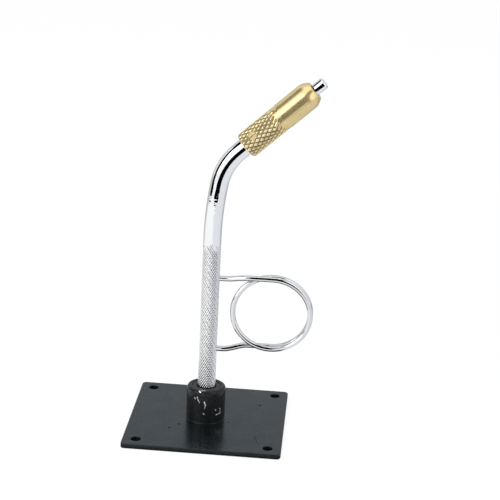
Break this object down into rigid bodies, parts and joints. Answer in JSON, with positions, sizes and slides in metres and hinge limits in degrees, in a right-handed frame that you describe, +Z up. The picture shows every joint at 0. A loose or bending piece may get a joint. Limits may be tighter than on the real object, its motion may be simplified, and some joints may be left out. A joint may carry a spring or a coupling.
{
  "type": "rotary vise",
  "caption": "Small fly-tying vise: square base with a socket, bent knurled stem with a wire finger ring, and a sprung brass head that turns and grips a hook at its nose.",
  "frame": {"origin": "on the stem's axis, on the underside of the base plate", "axes": "+Z up along the lower stem, +X towards the finger ring and the jaw, +Y to the back"},
  "size_m": [0.08, 0.07, 0.1608],
  "materials": {
    "black_paint": "satin black paint on sheet steel",
    "collar_paint": "thick, lightly wrinkled black paint on steel",
    "black_nylon": "matt black nylon",
    "stem_chrome": "bright chrome on steel, knurled below the bend",
    "ring_chrome": "bright chrome on steel wire",
    "pin_chrome": "bright chrome on steel",
    "bronze": "plain bronze",
    "spring_steel": "drawn spring wire",
    "brass": "turned and polished brass, diamond knurl behind",
    "screw_brass": "turned brass"
  },
  "bodies": {
    "base": {"base_plate": "black_paint", "socket_collar": "collar_paint"},
    "bush": {"socket_bush": "black_nylon"},
    "stem": {"stem": "stem_chrome", "finger_ring": "ring_chrome"},
    "spindle": {"jaw_pin": "pin_chrome", "thrust_washer": "bronze", "return_spring": "spring_steel"},
    "sleeve": {"jaw_sleeve": "brass", "stop_screw": "screw_brass"}
  },
  "joints": [
    {"name": "stem_swivel", "type": "hinge", "parent": "base", "child": "bush", "pos_m": [0, 0, 0], "axis": [0, 0, 1], "continuous": true},
    {"name": "stem_lift", "type": "slide", "parent": "bush", "child": "stem", "axis": [0, 0, 1], "range_m": [0, 0.014]},
    {"name": "head_spin", "type": "hinge", "parent": "stem", "child": "spindle", "pos_m": [0.00999, 0, 0.127], "axis": [0.7337, 0, 0.6794], "continuous": true},
    {"name": "sleeve_draw", "type": "slide", "parent": "spindle", "child": "sleeve", "axis": [0.7337, 0, 0.6794], "range_m": [-0.0035, 0], "stiffness_N_per_m": 900, "springref_m": 0.005, "deforming": ["return_spring"]}
  ]
}
